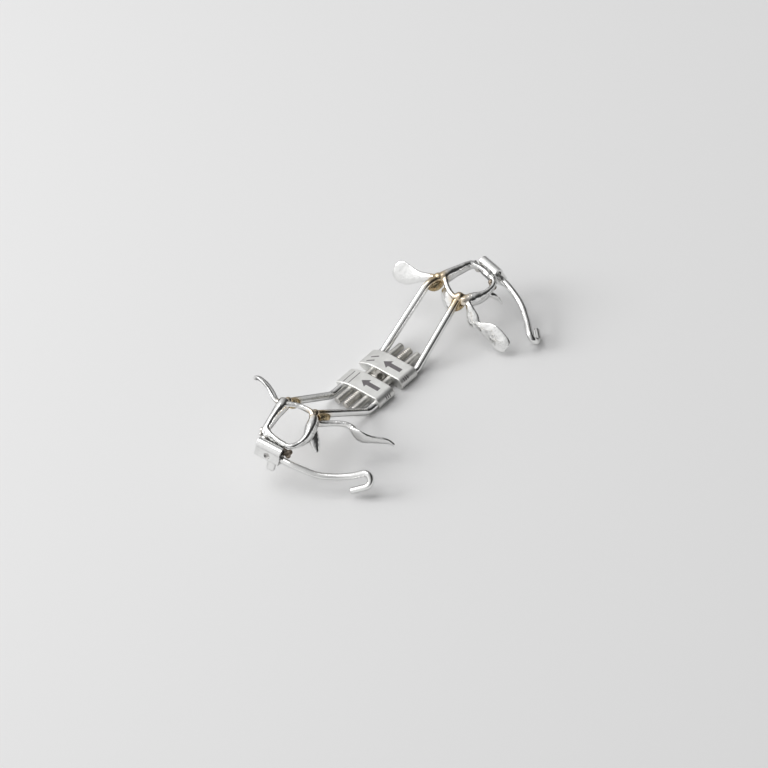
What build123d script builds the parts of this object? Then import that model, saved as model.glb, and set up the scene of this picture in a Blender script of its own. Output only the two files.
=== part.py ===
from build123d import *
import math
import os

# A fixed palatal expander: a jack screw with two guide pins, four wire arms, and a cast frame
# with a buccal tube and an elastic hook on each side. Millimetres, biting side up.
# X runs across the palate to the right, Y runs to the back, and the origin is the screw's centre.

# Rods of the screw: arm, guide pin, spindle, guide pin and arm lie in one row along Y
rod_pitch = 2.15
arm_diameter = 1.4
guide_pin_diameter = 1.4
spindle_diameter = 1.5
rod_overhang = 3.6
running_clearance = 0.03
solder_clearance = 0.02

# Housing, two halves with a gap for the key between them. Its top falls to a thin rear end.
half_width = 4.05
key_gap = 1.9
housing_wall = 0.55
housing_end_wall = 0.42
housing_tail = 1.2
housing_tail_round = 0.4
housing_taper_start = 0.8
housing_taper_radius = 10.2
housing_edge_round = 0.18
rod_end_chamfer = 0.15

# Hub of the spindle, drilled crosswise for the key
hub_side_clearance = 0.05
hub_pin_clearance = 0.15
key_hole_diameter = 1.1
key_hole_angle = 45.0

# Wire arms
arm_seat_depth = 3.0
arm_drop = 0.3
arm_bend_radius = 2.2

# The tooth frames stand on the biting plane, which drops to the front against the screw
palate_slope = 15.0

# Buccal tube: an empty bore above, and below it the bore that holds the hook wire
tube_length = 5.0
tube_wall = 0.4
tube_web = 0.35
tube_bore_diameter = 1.1
tube_bulge = 0.25
tube_edge_round = 0.3
tube_seat_depth = 3.6
tube_lean = 22.5
tube_toe_in = 11.5
dimple_diameter = 1.2
dimple_depth = 0.3
nub_depth = 1.0
nub_height = 2.2
nub_length = 1.5
nub_round = 0.4
nub_drop = 1.0
nub_forward = 0.9
pad_length = 4.0
pad_thickness = 0.6
pad_rise = 0.4
pad_drop = 0.3

# Hook wire
hook_wire_diameter = 1.2
hook_bend_radius = 10.0
hook_exit_run = 2.0
hook_mouth = 2.5
hook_front_run = 1.8
hook_tuck = 0.49
hook_tip_round = 0.4
hook_turn_drop = 45.0

# Casting and solder
palatal_wall_lean = 30.0
weld_cover = 0.2
root_radius = 0.8
solder_radius = 0.95
solder_heel_radius = 0.8
solder_toe_radius = 0.4
solder_reach = 1.7
weld_bead_radius = 0.8
weld_bead_sink = 0.3

# Places on the biting plane, as (outward, back, up) from the screw's centre
tube_centre = (28.4, -0.5, 7.0)

# Limbs of the casting: (outward, back, up), then half the height and half the thickness
distal_band = [
    ((19.4, 4.4, 8.3), 1.10, 1.10),
    ((21.2, 3.9, 8.3), 1.40, 1.05),
    ((22.8, 3.6, 8.2), 1.30, 0.85),
    ((24.4, 3.2, 8.1), 1.20, 0.75),
    ((26.0, 2.8, 7.9), 1.00, 0.70),
    ((27.1, 1.7, 7.5), 0.65, 0.50),
]
buccal_bar = [
    ((26.2, 2.5, 8.4), 0.50, 0.50),
    ((26.6, 0.6, 8.5), 0.42, 0.42),
    ((26.6, -0.9, 8.5), 0.42, 0.42),
    ((26.4, -2.4, 8.4), 0.45, 0.45),
]
mesial_band = [
    ((18.5, -1.7, 8.6), 0.80, 0.80),
    ((19.6, -2.6, 8.4), 1.20, 1.05),
    ((21.0, -3.3, 8.2), 1.40, 1.05),
    ((22.4, -3.9, 8.2), 1.20, 0.80),
    ((24.0, -4.0, 8.3), 0.80, 0.58),
    ((25.5, -3.6, 8.4), 0.55, 0.48),
    ((26.4, -2.4, 8.4), 0.45, 0.45),
]
palatal_bar = [
    ((20.6, 3.9, 8.9), 0.60, 0.60),
    ((19.4, 2.5, 9.0), 0.48, 0.48),
    ((18.7, 1.2, 9.0), 0.45, 0.45),
    ((18.3, -0.3, 9.0), 0.45, 0.45),
    ((18.5, -1.7, 8.8), 0.60, 0.60),
]
palatal_skirt = [
    ((18.9, 2.2, 8.6), 0.60, 0.40),
    ((18.0, 1.0, 7.9), 1.40, 0.45),
    ((17.6, -0.3, 7.5), 1.65, 0.45),
    ((18.1, -1.5, 8.1), 0.90, 0.45),
]

# Each side is cast to its own teeth, so these differ from left to right
SIDES = {
    "left": {
        "hand": -1,
        "tube_pitch": 0.0,
        "ring_shift": (0.0, 0.0, 0.0),
        "rear_rod_run": 2.9,
        "rear_arm_knees": [],
        "rear_joint": (19.0, 4.2, 7.8),
        "rear_solder": (18.0, 3.6, 6.9),
        "front_rod_run": 2.1,
        "front_joint": (17.8, -1.4, 8.2),
        "front_solder": (17.0, -2.7, 7.3),
        "hook_route": [(25.9, -10.0, 5.7), (22.6, -14.1, 6.0), (21.2, -15.8, 7.2)],
        "hook_back_run": 4.4,
        "rear_pad": [
            ((19.4, 4.6, 8.4), 0.70, 0.50),
            ((20.0, 6.1, 7.4), 0.80, 0.45),
            ((18.9, 8.4, 6.8), 1.30, 0.40),
            ((18.3, 10.6, 6.8), 1.60, 0.40),
            ((18.2, 12.1, 6.6), 1.40, 0.38),
            ((18.7, 12.9, 6.4), 0.70, 0.30),
        ],
        "prong": [
            ((20.6, -2.9, 8.2), 0.70, 1.00),
            ((21.3, -4.3, 7.6), 0.70, 1.05),
            ((22.0, -5.6, 6.7), 0.50, 0.75),
            ((22.5, -6.5, 6.1), 0.28, 0.32),
        ],
        "plate_lean": 5.0,
        "plates": [
            [
                ((19.4, -2.6, 8.3), 0.75, 0.55),
                ((17.6, -4.1, 7.7), 0.65, 0.50),
                ((16.1, -5.6, 7.7), 0.60, 0.45),
                ((15.1, -7.2, 7.5), 0.75, 0.42),
                ((14.9, -8.6, 7.1), 0.70, 0.40),
            ],
            [
                ((15.3, -7.2, 7.5), 0.60, 0.40),
                ((15.1, -8.9, 7.0), 1.55, 0.42),
                ((14.8, -10.3, 6.6), 1.75, 0.42),
                ((14.0, -11.7, 6.5), 1.15, 0.40),
                ((13.0, -13.0, 6.5), 0.90, 0.38),
                ((12.0, -14.5, 6.2), 0.55, 0.30),
                ((11.8, -15.3, 5.9), 0.35, 0.25),
            ],
        ],
    },
    "right": {
        "hand": 1,
        "tube_pitch": 14.0,
        "ring_shift": (0.3, -1.0, -0.9),
        "rear_rod_run": 0.9,
        "rear_arm_knees": [(17.2, 3.9, 8.2)],
        "rear_joint": (19.8, 3.6, 7.9),
        "rear_solder": (18.5, 3.0, 7.2),
        "front_rod_run": 0.9,
        "front_joint": (19.2, -2.2, 8.0),
        "front_solder": (18.8, -2.8, 7.0),
        "hook_route": [(26.9, -10.6, 6.1), (24.4, -14.3, 6.3), (23.2, -15.8, 6.4)],
        "hook_back_run": 3.5,
        "rear_pad": [
            ((19.4, 4.6, 8.6), 0.70, 0.50),
            ((18.9, 6.9, 7.5), 0.75, 0.45),
            ((18.5, 8.5, 6.5), 1.10, 0.42),
            ((18.2, 10.1, 5.7), 1.70, 0.40),
            ((17.9, 11.6, 5.3), 2.20, 0.40),
            ((17.7, 12.9, 5.2), 2.00, 0.38),
            ((17.6, 13.8, 5.2), 0.90, 0.30),
        ],
        "prong": [
            ((23.2, -3.7, 8.2), 0.50, 0.40),
            ((24.0, -4.9, 7.7), 0.55, 0.45),
            ((24.6, -5.9, 6.7), 0.40, 0.35),
            ((24.7, -6.5, 5.9), 0.25, 0.22),
        ],
        "plate_lean": 30.0,
        "plates": [
            [
                ((19.6, -2.6, 8.5), 0.70, 0.50),
                ((18.7, -3.9, 8.4), 0.80, 0.45),
                ((18.1, -5.2, 7.4), 1.35, 0.42),
                ((17.7, -6.2, 6.4), 1.15, 0.40),
                ((17.6, -6.8, 5.9), 0.50, 0.30),
            ],
            [
                ((18.0, -5.6, 7.0), 0.60, 0.40),
                ((17.9, -7.2, 6.7), 0.75, 0.40),
                ((18.1, -8.6, 6.7), 1.40, 0.40),
                ((18.3, -10.0, 6.6), 1.75, 0.40),
                ((18.2, -11.6, 6.1), 1.90, 0.40),
                ((18.2, -12.9, 5.7), 1.70, 0.38),
                ((18.2, -13.8, 5.4), 1.00, 0.30),
            ],
        ],
    },
}

# Worked out from the above
outer_face = key_gap / 2 + half_width
rod_end = outer_face + rod_overhang
arm_row = 2 * rod_pitch
housing_thickness = max(arm_diameter, guide_pin_diameter, spindle_diameter) + 2 * housing_wall
housing_front = arm_row + arm_diameter / 2 + housing_end_wall
housing_rear = arm_row + arm_diameter / 2 + housing_tail
hub_diameter = 2 * (rod_pitch - guide_pin_diameter / 2 - hub_pin_clearance)
hub_width = key_gap - 2 * hub_side_clearance
tube_height = 2 * tube_wall + tube_bore_diameter + tube_web + hook_wire_diameter
tube_depth = max(tube_bore_diameter, hook_wire_diameter) + 2 * tube_wall
upper_bore_height = tube_height / 2 - tube_wall - tube_bore_diameter / 2
lower_bore_height = -tube_height / 2 + tube_wall + hook_wire_diameter / 2
weld_radius = arm_diameter / 2 + weld_cover


def on_biting_plane(place):
    return Vector(*place).rotate(Axis.X, palate_slope)


def ring_place(side, place):
    """A place on the casting, with the side's own shift."""
    return on_biting_plane(Vector(*place) + Vector(*side["ring_shift"]))


def leaning(angle):
    """The direction up a tooth's palatal wall, which leans out by an angle."""
    lean = math.radians(angle)
    return on_biting_plane((math.sin(lean), 0, math.cos(lean)))


def handed(side, shape):
    """Sides are built on the right and mirrored for the left."""
    return mirror(shape, about=Plane.YZ) if side["hand"] < 0 else shape


def rod(diameter, half_length, row):
    """A plain rod across the screw, centred, with chamfered ends."""
    body = extrude(Plane.YZ.offset(-half_length) * Pos(row, 0) * Circle(diameter / 2), 2 * half_length)
    return chamfer(body.edges().filter_by(GeomType.CIRCLE), rod_end_chamfer)


def bore(diameter, row, start, length, height=0.0):
    return extrude(Plane.YZ.offset(start) * Pos(row, height) * Circle(diameter / 2), length)


def housing_profile():
    """A full-round slot, with its top rounded off to the rear."""
    length = housing_rear + housing_front
    slot = Pos((housing_rear - housing_front) / 2, 0) * SlotOverall(length, housing_thickness)
    taper_centre = Pos(housing_taper_start, housing_thickness / 2 - housing_taper_radius)
    taper = taper_centre * Circle(housing_taper_radius)
    front = Pos(housing_taper_start - length / 2, 0) * Rectangle(length, housing_thickness)
    profile = slot & (taper + front)
    return fillet(profile.vertices().group_by(Axis.X)[-1], housing_tail_round)


def housing_half():
    """One half: a rounded block with three through bores and two blind arm seats."""
    start = key_gap / 2
    block = extrude(Plane.YZ.offset(start) * housing_profile(), half_width)
    block = fillet(block.faces().filter_by(Axis.X).edges(), housing_edge_round)
    spindle_bore = spindle_diameter + 2 * running_clearance
    pin_bore = guide_pin_diameter + 2 * running_clearance
    seat_bore = arm_diameter + 2 * solder_clearance
    block -= bore(spindle_bore, 0, start, half_width)
    for end in (-1, 1):
        block -= bore(pin_bore, end * rod_pitch, start, half_width)
        block -= bore(seat_bore, end * arm_row, outer_face - arm_seat_depth, arm_seat_depth, -arm_drop)
    return block


def spindle():
    """The screw, with its hub in the gap and two key holes crossing in the hub."""
    body = rod(spindle_diameter, rod_end, 0)
    body += bore(hub_diameter, 0, -hub_width / 2, hub_width)
    for angle in (key_hole_angle, key_hole_angle + 90):
        drill = Cylinder(key_hole_diameter / 2, 2 * hub_diameter)
        body -= Rot(angle, 0, 0) * drill
    return body


def wire(points, diameter, bends):
    """Round wire along straight runs, with one bend radius for each corner."""
    path = FilletPolyline(*points, radius=bends)
    section = Plane(origin=path @ 0, z_dir=path % 0) * Circle(diameter / 2)
    return sweep(section, path=path)


def arm_points(side, end):
    """From the seat in the housing, out past the rods, then up to the casting."""
    row = end * arm_row
    run = side["rear_rod_run"] if end > 0 else side["front_rod_run"]
    knees = side["rear_arm_knees"] if end > 0 else []
    joint = side["rear_joint"] if end > 0 else side["front_joint"]
    seat = Vector(outer_face - arm_seat_depth, row, -arm_drop)
    points = [seat, Vector(outer_face + run, row, -arm_drop)]
    return points + [on_biting_plane(place) for place in knees + [joint]]


def arm(side, end, clearance=0.0):
    points = arm_points(side, end)
    return wire(points, arm_diameter + 2 * clearance, [arm_bend_radius] * (len(points) - 2))


def limb(places, lay):
    """A cast limb, lofted through ellipses whose heights lie along one direction."""
    centres = [place for place, _, _ in places]
    sections = []
    for index, (centre, half_height, half_thickness) in enumerate(places):
        tangent = centres[min(index + 1, len(centres) - 1)] - centres[max(index - 1, 0)]
        tangent = tangent.normalized()
        upright = lay - tangent * lay.dot(tangent)
        plane = Plane(origin=centre, x_dir=upright, z_dir=tangent)
        sections.append(plane * Ellipse(half_height, half_thickness))
    return loft(sections)


def tube_plane(side):
    """In the middle of the tube: x out to the cheek, y to the biting side, z to the front."""
    toe = math.radians(tube_toe_in)
    lean = math.radians(tube_lean)
    pitch = math.radians(side["tube_pitch"])
    front = Vector(-math.sin(toe), -math.cos(toe), 0) * math.cos(pitch) + Vector(0, 0, math.sin(pitch))
    cheek = Vector(math.cos(toe), -math.sin(toe), 0) * math.cos(lean) + Vector(0, 0, math.sin(lean))
    return Plane(
        origin=ring_place(side, tube_centre), x_dir=on_biting_plane(cheek), z_dir=on_biting_plane(front)
    )


def tube_profile():
    """A round tube on top of a flat-sided block."""
    block_top = upper_bore_height
    block_bottom = -tube_height / 2
    block = Pos(0, (block_top + block_bottom) / 2) * Rectangle(tube_depth, block_top - block_bottom)
    block = fillet(block.vertices().group_by(Axis.Y)[0], tube_edge_round)
    return block + Pos(tube_bulge, upper_bore_height) * Circle(tube_bore_diameter / 2 + tube_wall)


def buccal_tube(side):
    """The molar tube: a through bore above, a blind seat for the hook wire below, and a nub."""
    plane = tube_plane(side)
    rear = plane.offset(-tube_length / 2)
    seat = plane.offset(tube_length / 2 - tube_seat_depth)
    tube = extrude(rear * tube_profile(), tube_length)
    nub = fillet(Box(nub_depth, nub_height, nub_length).edges(), nub_round)
    tube += plane * Pos(0, -tube_height / 2 - nub_drop, nub_forward) * nub
    tube -= extrude(rear * Pos(tube_bulge, upper_bore_height) * Circle(tube_bore_diameter / 2), tube_length)
    seat_radius = hook_wire_diameter / 2 + solder_clearance
    tube -= extrude(seat * Pos(0, lower_bore_height) * Circle(seat_radius), tube_seat_depth)
    face = Pos(tube_depth / 2 - dimple_depth, lower_bore_height, 0) * Rot(0, 90, 0)
    drill = Cylinder(dimple_diameter / 2, tube_depth, align=(Align.CENTER, Align.CENTER, Align.MIN))
    return tube - plane * face * drill


def tube_pad(side):
    """The casting's pad that the tube's flat is welded to. It rises to the buccal bar."""
    top = upper_bore_height + tube_bore_diameter / 2 + tube_wall + pad_rise
    bottom = -tube_height / 2 + pad_drop
    middle = Pos(-(tube_depth + pad_thickness) / 2, (top + bottom) / 2, 0)
    return tube_plane(side) * middle * Box(pad_thickness, top - bottom, pad_length)


def hook_wire(side):
    """From its seat in the tube, forward along the teeth, then turned back into an open hook."""
    plane = tube_plane(side)
    seat = plane.from_local_coords(Vector(0, lower_bore_height, tube_length / 2 - tube_seat_depth))
    exit_bend = plane.from_local_coords(Vector(0, lower_bore_height, tube_length / 2 + hook_exit_run))
    route = [on_biting_plane(place) for place in side["hook_route"]]
    front = (route[-1] - route[-2]).normalized()
    drop = math.radians(hook_turn_drop)
    turn = on_biting_plane((math.cos(drop), 0, -math.sin(drop)))
    turn = (turn - front * turn.dot(front)).normalized()
    nose = route[-1] + front * hook_front_run
    back = nose + turn * hook_mouth
    tip = back - front * side["hook_back_run"]
    points = [seat, exit_bend, *route[:-1], nose, back, tip]
    bends = [hook_bend_radius] * len(route) + [hook_tuck * hook_mouth] * 2
    hook = wire(points, hook_wire_diameter, bends)
    return fillet(hook.faces().sort_by_distance(tip)[0].edges(), hook_tip_round)


def arm_solder(side, end, casting):
    """The solder beside the end of an arm: it fills the corner and runs out along the arm."""
    *_, before, joint = arm_points(side, end)
    along = (joint - before).normalized()
    body = on_biting_plane(side["rear_solder"] if end > 0 else side["front_solder"])
    foot = joint + along * (body - joint).dot(along)
    heel = joint + body - foot
    toe = (foot + body) * 0.5 - along * solder_reach
    stations = ((heel, solder_heel_radius), (body, solder_radius), (toe, solder_toe_radius))
    lump = limb([(place, radius, radius) for place, radius in stations], leaning(0))
    lump = lump - casting - arm(side, end, solder_clearance)
    return lump.solids().sort_by(SortBy.VOLUME)[-1]


def tube_weld(side, casting, tube):
    """The bead at the rear corner, between the tube and the casting."""
    corner = Vector(-tube_depth / 2 - weld_bead_sink, upper_bore_height, -pad_length / 2)
    centre = tube_plane(side).from_local_coords(corner)
    bead = Pos(centre) * Sphere(weld_bead_radius) - casting - tube
    return bead.solids().sort_by(SortBy.VOLUME)[-1]


def tooth_frame(side):
    """The one-piece casting of a side: a ring round the tooth, a rear pad and mesial plates."""
    upright = leaning(0)
    wall = leaning(palatal_wall_lean)
    plate_wall = leaning(side["plate_lean"])

    def cast(places, lay):
        return limb([(ring_place(side, place), tall, thick) for place, tall, thick in places], lay)

    bars = (distal_band, buccal_bar, mesial_band, palatal_bar, side["prong"])
    limbs = [cast(bar, upright) for bar in bars]
    limbs += [cast(plate, wall) for plate in (palatal_skirt, side["rear_pad"])]
    limbs += [cast(plate, plate_wall) for plate in side["plates"]]
    for joint, band in ((side["rear_joint"], distal_band), (side["front_joint"], mesial_band)):
        _, (thickest, _, _), *_ = band
        root = [on_biting_plane(joint), ring_place(side, thickest)]
        limbs.append(Pos(root[0]) * Sphere(weld_radius))
        limbs.append(limb([(place, root_radius, root_radius) for place in root], upright))
    casting = tube_pad(side) + limbs
    for end in (-1, 1):
        casting -= arm(side, end, solder_clearance)
    return casting


def side_pieces(side):
    """All that one side carries, built on the right."""
    casting = tooth_frame(side)
    tube = buccal_tube(side)
    pieces = {
        "body_half": housing_half(),
        "tooth_frame": casting,
        "buccal_tube": tube,
        "tube_weld": tube_weld(side, casting, tube),
        "hook_wire": hook_wire(side),
    }
    for end, where in ((-1, "front"), (1, "rear")):
        pieces[f"{where}_arm"] = arm(side, end)
        pieces[f"{where}_solder"] = arm_solder(side, end, casting)
    return pieces


def main():
    os.makedirs("parts", exist_ok=True)
    shapes = {"spindle": spindle()}
    for name, row in (("front_guide_pin", -rod_pitch), ("rear_guide_pin", rod_pitch)):
        shapes[name] = rod(guide_pin_diameter, rod_end, row)
    for name, side in SIDES.items():
        for piece, shape in side_pieces(side).items():
            shapes[f"{name}_{piece}"] = handed(side, shape)
    for name, shape in shapes.items():
        export_step(shape, f"parts/{name}.step")


main()
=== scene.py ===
import math

import bpy
from mathutils import Matrix, Vector


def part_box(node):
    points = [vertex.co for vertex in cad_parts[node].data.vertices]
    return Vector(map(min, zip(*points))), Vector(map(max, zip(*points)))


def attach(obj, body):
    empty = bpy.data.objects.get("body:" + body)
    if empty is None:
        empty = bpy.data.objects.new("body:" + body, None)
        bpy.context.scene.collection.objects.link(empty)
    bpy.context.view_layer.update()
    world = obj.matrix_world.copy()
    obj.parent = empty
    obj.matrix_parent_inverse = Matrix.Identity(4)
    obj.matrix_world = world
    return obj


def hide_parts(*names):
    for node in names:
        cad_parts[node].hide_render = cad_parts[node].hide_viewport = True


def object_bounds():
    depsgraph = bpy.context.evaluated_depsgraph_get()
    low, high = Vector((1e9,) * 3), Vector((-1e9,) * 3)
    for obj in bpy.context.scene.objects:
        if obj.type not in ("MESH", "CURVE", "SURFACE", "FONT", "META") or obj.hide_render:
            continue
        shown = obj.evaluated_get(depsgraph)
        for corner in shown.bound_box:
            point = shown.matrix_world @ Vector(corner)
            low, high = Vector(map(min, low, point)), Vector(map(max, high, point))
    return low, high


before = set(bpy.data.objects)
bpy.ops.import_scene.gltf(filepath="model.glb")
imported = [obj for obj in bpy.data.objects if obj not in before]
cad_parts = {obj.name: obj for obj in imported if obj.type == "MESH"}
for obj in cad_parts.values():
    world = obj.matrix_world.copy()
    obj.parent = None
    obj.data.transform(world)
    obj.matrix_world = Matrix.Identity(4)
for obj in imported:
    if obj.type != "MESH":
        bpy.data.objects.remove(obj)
cad_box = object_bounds()

# Guide pins: two plain rods of hard steel, ground to size between centres.
# They slide in both halves of the housing and keep them in line.
MM = 0.001
tone_split = (0.3, 0.7)
patch_detail = 4
grain_detail = 3


def metal(name, bright, dull, roughness, patch, grain, bump, edge, stretch=(1, 1, 1)):
    """A bare metal: patches of two tones, and a fine grain that roughens and dents the surface."""
    made = bpy.data.materials.new(name)
    made.use_nodes = True
    nodes, links = made.node_tree.nodes, made.node_tree.links
    shader = nodes["Principled BSDF"]
    shader.inputs["Metallic"].default_value = 1.0
    shader.inputs["Specular Tint"].default_value = (edge, edge, edge, 1)
    place = nodes.new("ShaderNodeTexCoord")
    clouds = nodes.new("ShaderNodeTexNoise")
    clouds.inputs["Scale"].default_value = 1 / patch
    clouds.inputs["Detail"].default_value = patch_detail
    links.new(place.outputs["Object"], clouds.inputs["Vector"])
    tones = nodes.new("ShaderNodeValToRGB")
    for stop, position, tone in zip(tones.color_ramp.elements, tone_split, (dull, bright)):
        stop.position = position
        stop.color = (*tone, 1)
    links.new(clouds.outputs["Fac"], tones.inputs["Fac"])
    links.new(tones.outputs["Color"], shader.inputs["Base Color"])
    stretched = nodes.new("ShaderNodeMapping")
    stretched.inputs["Scale"].default_value = stretch
    links.new(place.outputs["Object"], stretched.inputs["Vector"])
    fine = nodes.new("ShaderNodeTexNoise")
    fine.inputs["Scale"].default_value = 1 / grain
    fine.inputs["Detail"].default_value = grain_detail
    links.new(stretched.outputs["Vector"], fine.inputs["Vector"])
    rough = nodes.new("ShaderNodeMapRange")
    rough.inputs["To Min"].default_value = roughness[0]
    rough.inputs["To Max"].default_value = roughness[1]
    links.new(fine.outputs["Fac"], rough.inputs["Value"])
    links.new(rough.outputs["Result"], shader.inputs["Roughness"])
    dents = nodes.new("ShaderNodeBump")
    dents.inputs["Strength"].default_value = bump
    dents.inputs["Distance"].default_value = grain
    links.new(fine.outputs["Fac"], dents.inputs["Height"])
    links.new(dents.outputs["Normal"], shader.inputs["Normal"])
    return made


def dress(piece, material):
    """One material all over a piece."""
    piece.data.materials.clear()
    piece.data.materials.append(material)


ground_steel = metal(
    "ground_steel", (0.74, 0.73, 0.70), (0.58, 0.57, 0.54), roughness=(0.34, 0.48),
    patch=1.2 * MM, grain=0.5 * MM, stretch=(14, 1, 1), bump=0.12, edge=0.25)
for pin in ("front_guide_pin", "rear_guide_pin"):
    dress(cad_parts[pin], ground_steel)

# Spindle: the jack screw, turned from one bar with opposite threads on its two ends.
# Its hub lies in the gap and is drilled crosswise twice, for the key that turns it.
spindle_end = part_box("spindle")[1].x
spindle_radius = 0.75 * MM
end_chamfer = 0.15 * MM
thread_pitch = 0.4 * MM
thread_depth = 0.12 * MM
thread_sides = 40
thread_splits = (17, 19)
thread_voxel = 0.055 * MM
thread_rounds = 1
thread_crease = math.radians(50)
least_run = 0.015 * MM
hub_radius = 1.3 * MM
hub_half_width = 0.9 * MM
hub_bevel = 0.1 * MM
hub_bevel_steps = 3
hub_sides = 64
key_hole_radius = 0.55 * MM
drill_length = 4 * hub_radius
drill_sides = 40
quarter = math.pi / 2


def pick(piece):
    """Selects one piece alone and makes it the active one."""
    bpy.ops.object.select_all(action="DESELECT")
    piece.select_set(True)
    bpy.context.view_layer.objects.active = piece


def add_rod(name, radius, length, sides, turn):
    """A closed cylinder on the origin, turned about the axes by the angles given."""
    bpy.ops.object.select_all(action="DESELECT")
    bpy.ops.mesh.primitive_cylinder_add(vertices=sides, radius=radius, depth=length, rotation=turn)
    made = bpy.context.object
    made.name = name
    bpy.ops.object.transform_apply(location=True, rotation=True, scale=True)
    return made


def apply_modifier(piece, kind, **values):
    """Adds a modifier with these values and applies it."""
    pick(piece)
    modifier = piece.modifiers.new(kind.lower(), kind)
    for key, value in values.items():
        setattr(modifier, key, value)
    bpy.ops.object.modifier_apply(modifier=modifier.name)


def cut_or_join(piece, tool, operation):
    """A boolean with another shape, which is used up."""
    apply_modifier(piece, "BOOLEAN", object=tool, operation=operation, solver="EXACT")
    bpy.data.objects.remove(tool)


def reskin(piece, voxel):
    """One even skin over all that a piece is made of."""
    apply_modifier(piece, "REMESH", mode="VOXEL", voxel_size=voxel)


def keep_largest(piece):
    """Drops the specks that a new skin leaves in or beside a piece."""
    name = piece.name
    pick(piece)
    bpy.ops.mesh.separate(type="LOOSE")
    *specks, largest = sorted(bpy.context.selected_objects, key=lambda part: len(part.data.vertices))
    for speck in specks:
        bpy.data.objects.remove(speck)
    largest.name = name
    return largest


def soften(piece, rounds):
    """Evens out the steps of a new skin."""
    apply_modifier(piece, "SMOOTH", factor=0.5, iterations=rounds)


def smooth_over(piece, crease):
    """Shades a piece smooth, except over edges sharper than an angle."""
    pick(piece)
    bpy.ops.object.shade_smooth_by_angle(angle=crease)


spindle = add_rod("jack_screw", spindle_radius, 2 * spindle_end, thread_sides, (0, quarter, 0))
for splits in thread_splits:
    bpy.ops.object.mode_set(mode="EDIT")
    bpy.ops.mesh.select_mode(type="EDGE")
    bpy.ops.mesh.select_all(action="DESELECT")
    bpy.ops.object.mode_set(mode="OBJECT")
    for edge in spindle.data.edges:
        ends = [spindle.data.vertices[v].co.x for v in edge.vertices]
        edge.select = abs(ends[0] - ends[1]) > least_run
    bpy.ops.object.mode_set(mode="EDIT")
    bpy.ops.mesh.subdivide(number_cuts=splits)
    bpy.ops.object.mode_set(mode="OBJECT")
for vertex in spindle.data.vertices:
    x, y, z = vertex.co
    lead = abs(x) / thread_pitch + math.atan2(z, y) / math.tau
    sink = thread_depth * abs(2 * (lead % 1) - 1)
    room = spindle_end - abs(x)
    radius = min(spindle_radius - sink, spindle_radius - end_chamfer + room)
    if math.hypot(y, z) > 0:
        vertex.co.y, vertex.co.z = (radius * part / math.hypot(y, z) for part in (y, z))
hub = add_rod("hub", hub_radius, 2 * hub_half_width, hub_sides, (0, quarter, 0))
apply_modifier(hub, "BEVEL", width=hub_bevel, segments=hub_bevel_steps, limit_method="ANGLE")
cut_or_join(spindle, hub, "UNION")
for angle in (quarter / 2, -quarter / 2):
    drill = add_rod("drill", key_hole_radius, drill_length, drill_sides, (angle, 0, 0))
    cut_or_join(spindle, drill, "DIFFERENCE")
reskin(spindle, thread_voxel)
spindle = keep_largest(spindle)
soften(spindle, thread_rounds)
smooth_over(spindle, thread_crease)
screw_steel = metal(
    "screw_steel", (0.70, 0.68, 0.64), (0.50, 0.48, 0.44), roughness=(0.30, 0.45),
    patch=0.9 * MM, grain=0.12 * MM, bump=0.15, edge=0.25)
dress(spindle, screw_steel)
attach(spindle, "spindle")
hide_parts("spindle")

# Housing halves: blocks of stainless steel with round ends, milled, bored and blasted to a pale satin.
# Each runs on the spindle and the pins, and holds two arms in blind seats.
satin_steel = metal(
    "satin_steel", (0.84, 0.84, 0.82), (0.73, 0.73, 0.71), roughness=(0.40, 0.54),
    patch=1.5 * MM, grain=0.06 * MM, bump=0.12, edge=0.6)
for half in ("left_body_half", "right_body_half"):
    dress(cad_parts[half], satin_steel)

# Laser marks: dark oxide burnt into the top and the front of each half, flush with it.
# An arrow shows which way the key swings, and plain strokes stand beside it.
mark_depth = 0.03 * MM
mark_rise = 0.008 * MM
mark_cuts = 7
arrow_tail = -3.5 * MM
arrow_neck = -0.55 * MM
arrow_tip = 1.0 * MM
arrow_shaft = 0.85 * MM
arrow_head = 2.0 * MM
arrow_reach = 2.9 * MM
line_width = 0.2 * MM
line_length = 3.1 * MM
line_column = -3.1 * MM
line_rows = (4.2 * MM, 2.8 * MM)
stroke_width = 0.3 * MM
stroke_length = 1.7 * MM
stroke_slant = math.radians(23)
stroke_row = 3.6 * MM
stroke_columns = (1.95 * MM, 3.15 * MM)
tick_width = 0.2 * MM
tick_pitch = 0.45 * MM
tick_count = 3
tick_sweep = math.radians(34)
tick_place = {"left": (-2.6 * MM, math.radians(74)), "right": (2.35 * MM, math.radians(52))}
crown_start = 0.8 * MM
crown_radius = 10.2 * MM


def to_edit(piece):
    """Opens one piece in edit mode with all its faces selected."""
    pick(piece)
    bpy.ops.object.mode_set(mode="EDIT")
    bpy.ops.mesh.select_mode(type="FACE")
    bpy.ops.mesh.select_all(action="SELECT")


def thicken_mark(piece, cuts):
    """Cuts a flat mark up so that it can follow a curve, and gives it its depth."""
    to_edit(piece)
    if cuts:
        bpy.ops.mesh.subdivide(number_cuts=cuts)
    bpy.ops.mesh.extrude_region_move(TRANSFORM_OT_translate={"value": (0, 0, mark_depth)})
    bpy.ops.mesh.select_all(action="SELECT")
    bpy.ops.mesh.normals_make_consistent(inside=False)
    bpy.ops.transform.translate(value=(0, 0, mark_rise - mark_depth))
    bpy.ops.object.mode_set(mode="OBJECT")
    return piece


def add_bar(width, length, centre, slant=0.0):
    """A plain bar, lying flat and turned about its middle."""
    bpy.ops.object.select_all(action="DESELECT")
    bpy.ops.mesh.primitive_plane_add(size=1, location=(*centre, 0), rotation=(0, 0, slant))
    bar = bpy.context.object
    bar.scale = (width, length, 1)
    bpy.ops.object.transform_apply(location=True, rotation=True, scale=True)
    return thicken_mark(bar, mark_cuts)


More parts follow.
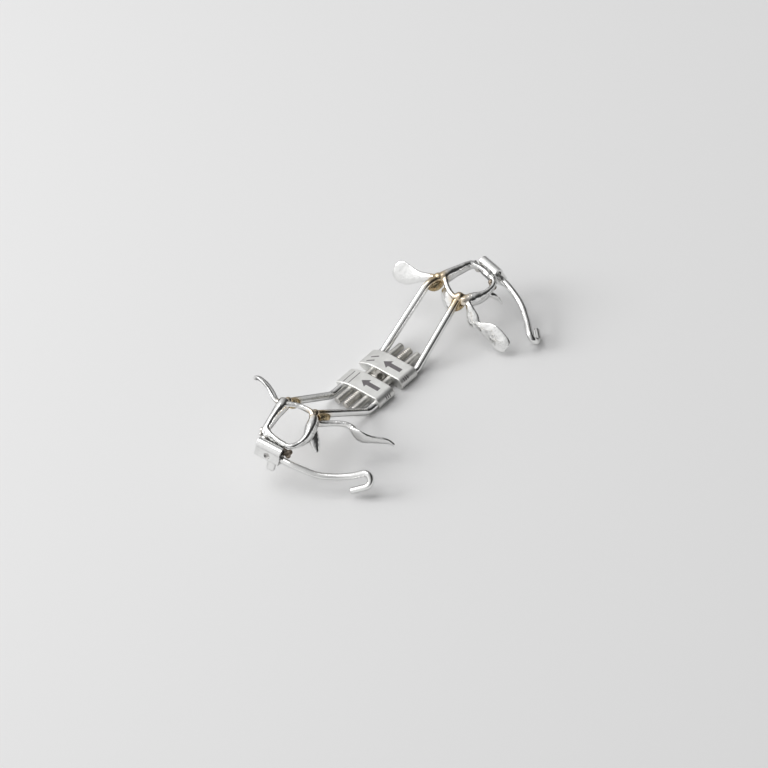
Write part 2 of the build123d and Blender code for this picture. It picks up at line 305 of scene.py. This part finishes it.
def add_arrow(across):
    """A flat arrow: two corners at the tail, four at the neck, and the tip."""
    shaft, head = arrow_shaft / 2, arrow_head / 2
    outline = (
        (-shaft, arrow_tail), (shaft, arrow_tail), (shaft, arrow_neck), (head, arrow_neck),
        (0, arrow_tip), (-head, arrow_neck), (-shaft, arrow_neck))
    bpy.ops.object.select_all(action="DESELECT")
    bpy.ops.mesh.primitive_circle_add(vertices=len(outline), radius=arrow_shaft, fill_type="NGON")
    arrow = bpy.context.object
    for vertex, (x, y) in zip(arrow.data.vertices, outline):
        vertex.co = (across + x, y, 0)
    return thicken_mark(arrow, 0)


def lay_on_top(mark, top):
    """Lays a mark on the top of the housing, which falls away on a large radius at the back."""
    for vertex in mark.data.vertices:
        back = max(0, vertex.co.y - crown_start)
        vertex.co.z += top - crown_radius + math.sqrt(crown_radius ** 2 - back ** 2)


def lay_on_nose(mark, centre, radius):
    """Wraps a mark round the front end: its length runs down the round from the top."""
    for vertex in mark.data.vertices:
        angle, reach = -vertex.co.y / radius, radius + vertex.co.z
        vertex.co.y = centre - reach * math.sin(angle)
        vertex.co.z = reach * math.cos(angle)


def join_pieces(name, pieces):
    """Makes several meshes one piece."""
    bpy.ops.object.select_all(action="DESELECT")
    for piece in pieces:
        piece.select_set(True)
    bpy.context.view_layer.objects.active = pieces[0]
    bpy.ops.object.join()
    pieces[0].name = name
    return pieces[0]


laser_oxide = metal(
    "laser_oxide", (0.185, 0.172, 0.18), (0.135, 0.127, 0.132), roughness=(0.55, 0.75),
    patch=0.4 * MM, grain=0.05 * MM, bump=0.1, edge=0.4)
laser_oxide.node_tree.nodes["Principled BSDF"].inputs["Metallic"].default_value = 0.0
for side, hand in (("left", -1), ("right", 1)):
    low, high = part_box(f"{side}_body_half")
    marks = [add_arrow(hand * arrow_reach)]
    if side == "left":
        marks += [add_bar(line_length, line_width, (line_column, row)) for row in line_rows]
    else:
        marks += [
            add_bar(stroke_width, stroke_length, (column, stroke_row), stroke_slant)
            for column in stroke_columns]
    for mark in marks:
        lay_on_top(mark, high.z)
    middle, turn = tick_place[side]
    for tick in range(tick_count):
        across = middle + (tick - (tick_count - 1) / 2) * tick_pitch
        bar = add_bar(tick_width, tick_sweep * high.z, (across, -turn * high.z))
        lay_on_nose(bar, low.y + high.z, high.z)
        marks.append(bar)
    piece = join_pieces(f"{side}_laser_marks", marks)
    dress(piece, laser_oxide)
    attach(piece, f"{side}_side")

# Arms: stainless wire, bent to the model and polished. One end is held in the housing and
# the other in the casting. The heat of the joint leaves a straw tint near the outer end.
merge_distance = 0.0005 * MM
end_slice = 0.3 * MM
wire_crease = math.radians(40)
straw = (0.80, 0.60, 0.34)
arm_tint_reach = 4.4 * MM
tint_core = 0.35
tint_strength = 0.8


def worked_copy(node, name):
    """A copy of a solid's mesh, with its triangles joined up, ready to be worked on."""
    piece = bpy.data.objects.new(name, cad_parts[node].data.copy())
    bpy.context.scene.collection.objects.link(piece)
    to_edit(piece)
    bpy.ops.mesh.remove_doubles(threshold=merge_distance)
    bpy.ops.object.mode_set(mode="OBJECT")
    bpy.ops.mesh.customdata_custom_splitnormals_clear()
    return piece


def tint_round(material, places, reach, colour):
    """Colours a metal round some places: strongest in a core, and gone at the reach."""
    nodes, links = material.node_tree.nodes, material.node_tree.links
    shader = nodes["Principled BSDF"]
    under = shader.inputs["Base Color"].links[0].from_socket
    where = nodes.new("ShaderNodeTexCoord")
    for place in places:
        away = nodes.new("ShaderNodeVectorMath")
        away.operation = "DISTANCE"
        away.inputs[1].default_value = place
        links.new(where.outputs["Object"], away.inputs[0])
        fade = nodes.new("ShaderNodeMapRange")
        fade.interpolation_type = "SMOOTHSTEP"
        fade.inputs["From Min"].default_value = reach * tint_core
        fade.inputs["From Max"].default_value = reach
        fade.inputs["To Min"].default_value = tint_strength
        fade.inputs["To Max"].default_value = 0.0
        links.new(away.outputs["Value"], fade.inputs["Value"])
        tint = nodes.new("ShaderNodeMix")
        tint.data_type = "RGBA"
        tint.blend_type = "MULTIPLY"
        tint.inputs["B"].default_value = (*colour, 1)
        links.new(fade.outputs["Result"], tint.inputs["Factor"])
        links.new(under, tint.inputs["A"])
        under = tint.outputs["Result"]
    links.new(under, shader.inputs["Base Color"])


def outer_end(node):
    """The middle of an arm's outer end."""
    corners = [vertex.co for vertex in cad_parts[node].data.vertices]
    far = max(abs(corner.x) for corner in corners)
    tip = [corner for corner in corners if abs(corner.x) > far - end_slice]
    return sum(tip, Vector()) / len(tip)


joints = {
    side: [outer_end(f"{side}_{end}_arm") for end in ("front", "rear")]
    for side in ("left", "right")}
for side in ("left", "right"):
    drawn_wire = metal(
        f"{side}_arm_wire", (0.92, 0.92, 0.91), (0.78, 0.78, 0.77), roughness=(0.10, 0.20),
        patch=2.0 * MM, grain=0.35 * MM, bump=0.05, edge=0.15)
    tint_round(drawn_wire, joints[side], arm_tint_reach, straw)
    for end in ("front", "rear"):
        node = f"{side}_{end}_arm"
        piece = worked_copy(node, f"{side}_{end}_wire_arm")
        smooth_over(piece, wire_crease)
        dress(piece, drawn_wire)
        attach(piece, f"{side}_side")
        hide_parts(node)

# Castings: a ring round the molar with a rear pad and a front plate, cast in one and polished by hand.
# The arms end in its shoulders, and the tube stands on its pad.
casting_voxel = 0.09 * MM
casting_rounds = 10
casting_crease = math.radians(60)
stub_length = 1.0 * MM
polish_waves = bpy.data.textures.new("polish_waves", "CLOUDS")
polish_waves.noise_scale = 1.6 * MM
polish_depth = 0.12 * MM
polish_level = 0.35
polish_rounds = 3
casting_tint_reach = 2.6 * MM
for side in ("left", "right"):
    node = f"{side}_tooth_frame"
    piece = worked_copy(node, f"{side}_casting")
    stubs = []
    for end, tip in zip(("front", "rear"), joints[side]):
        stub = worked_copy(f"{side}_{end}_arm", "stub")
        stubs.append(stub)
        outward = Vector((tip.x, 0, 0)).normalized()
        to_edit(stub)
        bpy.ops.mesh.bisect(
            plane_co=tip - stub_length * outward, plane_no=outward, clear_inner=True, use_fill=True)
        bpy.ops.object.mode_set(mode="OBJECT")
    piece = join_pieces(f"{side}_casting", [piece] + stubs)
    reskin(piece, casting_voxel)
    piece = keep_largest(piece)
    soften(piece, casting_rounds)
    apply_modifier(
        piece, "DISPLACE", texture=polish_waves, texture_coords="LOCAL", strength=polish_depth,
        mid_level=polish_level)
    soften(piece, polish_rounds)
    smooth_over(piece, casting_crease)
    cast_alloy = metal(
        f"{side}_cast_alloy", (0.96, 0.96, 0.95), (0.86, 0.86, 0.85), roughness=(0.08, 0.20),
        patch=1.6 * MM, grain=0.7 * MM, bump=0.12, edge=0.2)
    tint_round(cast_alloy, joints[side], casting_tint_reach, straw)
    dress(piece, cast_alloy)
    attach(piece, f"{side}_side")
    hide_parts(node)

# Solder: a fillet of gold solder drawn under each arm where it meets the casting.
# It froze lumpy, and the flux left brown stains on it.
solder_voxel = 0.07 * MM
solder_rounds = 8
solder_crease = math.radians(60)
gold_solder = metal(
    "gold_solder", (0.88, 0.74, 0.48), (0.40, 0.29, 0.16), roughness=(0.16, 0.36),
    patch=0.8 * MM, grain=0.25 * MM, bump=0.35, edge=0.3)
for side in ("left", "right"):
    for end in ("front", "rear"):
        node = f"{side}_{end}_solder"
        piece = worked_copy(node, f"{side}_{end}_solder_fillet")
        reskin(piece, solder_voxel)
        piece = keep_largest(piece)
        soften(piece, solder_rounds)
        smooth_over(piece, solder_crease)
        dress(piece, gold_solder)
        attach(piece, f"{side}_side")
        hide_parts(node)

# Buccal tubes: stainless blocks with an open round bore above the round seat of the hook wire,
# welded to the casting's pad. A dimple marks the cheek side, with painted shade darkening the metal
# round it, and a blunt nub stands below.
tube_crease = math.radians(35)
dimple_place = {
    "left": Vector((-29.58, -2.45, 6.29)) * MM,
    "right": Vector((29.86, -3.25, 5.14)) * MM}
dimple_shade_reach = 0.75 * MM
dimple_painted_shade = (0.34, 0.32, 0.31)
for side in ("left", "right"):
    tube_steel = metal(
        f"{side}_tube_steel", (0.96, 0.96, 0.95), (0.84, 0.84, 0.83), roughness=(0.10, 0.26),
        patch=1.4 * MM, grain=0.5 * MM, stretch=(5, 1, 5), bump=0.1, edge=0.2)
    # Painted shade: the tube's colour is darkened round the dimple, where shade falls in its hollow.
    tint_round(tube_steel, [dimple_place[side]], dimple_shade_reach, dimple_painted_shade)
    node = f"{side}_buccal_tube"
    piece = worked_copy(node, f"{side}_molar_tube")
    smooth_over(piece, tube_crease)
    dress(piece, tube_steel)
    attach(piece, f"{side}_side")
    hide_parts(node)

# Weld beads: casting metal run in at the rear corner of each tube, in a few round nuggets.
# A darker bead closes the corner at its front end: its brown is burn from the torch, and its dark
# colour is painted shade for the shaded corner.
weld_voxel = 0.06 * MM
weld_rounds = 6
weld_crease = math.radians(60)
drop_splits = 3
nuggets = ((-0.25, 0.5, 0.6, 0.6), (-0.6, 1.0, 1.25, 0.5), (0.1, 0.75, 0.95, 0.42))
front_nuggets = (
    (0.0, 0.0, 0.0, 0.65), (0.2, 0.45, 0.4, 0.6), (-0.3, -0.4, 0.25, 0.5), (0.1, -0.1, -0.5, 0.5))
front_corner = {
    "left": Vector((-26.5, -4.5, 5.5)) * MM,
    "right": Vector((25.8, -6.1, 5.7)) * MM}
weld_metal = metal(
    "weld_metal", (0.86, 0.85, 0.83), (0.52, 0.49, 0.44), roughness=(0.16, 0.34),
    patch=0.8 * MM, grain=0.3 * MM, bump=0.3, edge=0.2)
# Partly painted shade: this bead is coloured dark for the shade in the corner at the tube's front, as
# well as brown from the torch.
burnt_and_shaded_metal = metal(
    "burnt_and_shaded_metal", (0.42, 0.36, 0.30), (0.12, 0.10, 0.08), roughness=(0.28, 0.5),
    patch=0.6 * MM, grain=0.2 * MM, bump=0.4, edge=0.3)


def add_nuggets(hand, middle, sizes):
    """Round drops about a point. Each is how far out, back and up it lies, and its radius, in mm."""
    drops = []
    for out, back, up, radius in sizes:
        bpy.ops.object.select_all(action="DESELECT")
        place = middle + Vector((hand * out, back, up)) * MM
        bpy.ops.mesh.primitive_ico_sphere_add(
            subdivisions=drop_splits, radius=radius * MM, location=place)
        bpy.ops.object.transform_apply(location=True, rotation=True, scale=True)
        drops.append(bpy.context.object)
    return drops


def run_together(piece):
    """Melts overlapping lumps into one skin."""
    reskin(piece, weld_voxel)
    soften(piece, weld_rounds)
    smooth_over(piece, weld_crease)


for side, hand in (("left", -1), ("right", 1)):
    node = f"{side}_tube_weld"
    low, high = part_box(node)
    bead = worked_copy(node, f"{side}_weld_bead")
    bead = join_pieces(f"{side}_weld_bead", [bead] + add_nuggets(hand, (low + high) / 2, nuggets))
    run_together(bead)
    dress(bead, weld_metal)
    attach(bead, f"{side}_side")
    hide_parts(node)
    front_bead = join_pieces(
        f"{side}_front_bead", add_nuggets(hand, front_corner[side], front_nuggets))
    run_together(front_bead)
    dress(front_bead, burnt_and_shaded_metal)
    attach(front_bead, f"{side}_side")

# Hook wires: polished stainless wire, soldered into the tube's lower seat and bent along the teeth.
# The front end is turned back into an open hook for an elastic.
hook_steel = metal(
    "hook_steel", (0.94, 0.94, 0.93), (0.82, 0.82, 0.81), roughness=(0.09, 0.18),
    patch=2.0 * MM, grain=0.35 * MM, bump=0.05, edge=0.15)
for side in ("left", "right"):
    node = f"{side}_hook_wire"
    piece = worked_copy(node, f"{side}_elastic_hook")
    smooth_over(piece, wire_crease)
    dress(piece, hook_steel)
    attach(piece, f"{side}_side")
    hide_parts(node)

# Floor: one wide sheet of matt pale card, level with the housing's underside.
# It only takes the shadows, and isn't part of the object.
floor_size = 4
floor_level = cad_box[0].z
floor_grey = (0.80, 0.80, 0.80)
bpy.ops.object.select_all(action="DESELECT")
bpy.ops.mesh.primitive_plane_add(size=floor_size, location=(0, 0, floor_level))
floor = bpy.context.object
floor.name = "floor"
floor_paint = bpy.data.materials.new("floor_paint")
floor_paint.use_nodes = True
floor_shader = floor_paint.node_tree.nodes["Principled BSDF"]
floor_shader.inputs["Base Color"].default_value = (*floor_grey, 1)
floor_shader.inputs["Roughness"].default_value = 0.9
floor_shader.inputs["Specular IOR Level"].default_value = 0.1
dress(floor, floor_paint)

# Light: a broad window panel behind the object and a soft panel above it.
# The room is white towards the window and darkens away from it.
window_place, window_size, window_power = (-0.30, 0.42, 0.30), 0.30, 1.5
ceiling_place, ceiling_size, ceiling_power = (-0.05, 0.15, 0.60), 0.40, 0.8
window_direction = Vector((-0.55, 0.70, 0.45)).normalized()
room_span = (-0.3, 0.85)
room_strength = (0.04, 1.0)


def add_panel(name, place, size, power):
    """A square panel of light that faces the origin."""
    bpy.ops.object.light_add(type="AREA", location=place)
    panel = bpy.context.object
    panel.name = name
    panel.data.shape = "SQUARE"
    panel.data.size = size
    panel.data.energy = power
    panel.rotation_euler = Vector(place).to_track_quat("Z", "Y").to_euler()


add_panel("window", window_place, window_size, window_power)
add_panel("ceiling", ceiling_place, ceiling_size, ceiling_power)
room = bpy.data.worlds.new("room")
bpy.context.scene.world = room
room.use_nodes = True
room_nodes, room_links = room.node_tree.nodes, room.node_tree.links
direction = room_nodes.new("ShaderNodeTexCoord")
toward_window = room_nodes.new("ShaderNodeVectorMath")
toward_window.operation = "DOT_PRODUCT"
toward_window.inputs[1].default_value = window_direction
shade = room_nodes.new("ShaderNodeMapRange")
shade.inputs["From Min"].default_value, shade.inputs["From Max"].default_value = room_span
shade.inputs["To Min"].default_value, shade.inputs["To Max"].default_value = room_strength
room_links.new(direction.outputs["Generated"], toward_window.inputs[0])
room_links.new(toward_window.outputs["Value"], shade.inputs["Value"])
room_links.new(shade.outputs["Result"], room_nodes["Background"].inputs["Strength"])
room_nodes["Background"].inputs["Color"].default_value = (1.0, 1.0, 1.0, 1)

# Camera: far off with a long lens, above the front left.
# It is tilted so that the biting side leans to the left.
camera_reach = 1.0
camera_lens = 257.8
camera_sensor = 36
camera_offset = 1.127 * MM
clip_start = 0.01
look_right = Vector((0.688, -0.700, -0.188)).normalized()
look_back = Vector((-0.421, -0.597, 0.682)).normalized()
look_up = look_back.cross(look_right).normalized()
look_right = look_up.cross(look_back)
aim = (look_right - look_up) * camera_offset
bpy.ops.object.camera_add()
camera = bpy.context.object
camera.data.sensor_width = camera_sensor
camera.data.lens = camera_lens
camera.data.clip_start = clip_start
turn = Matrix((look_right, look_up, look_back)).transposed().to_4x4()
camera.matrix_world = Matrix.Translation(aim + look_back * camera_reach) @ turn
bpy.context.scene.camera = camera
bpy.context.scene.view_settings.view_transform = "Standard"
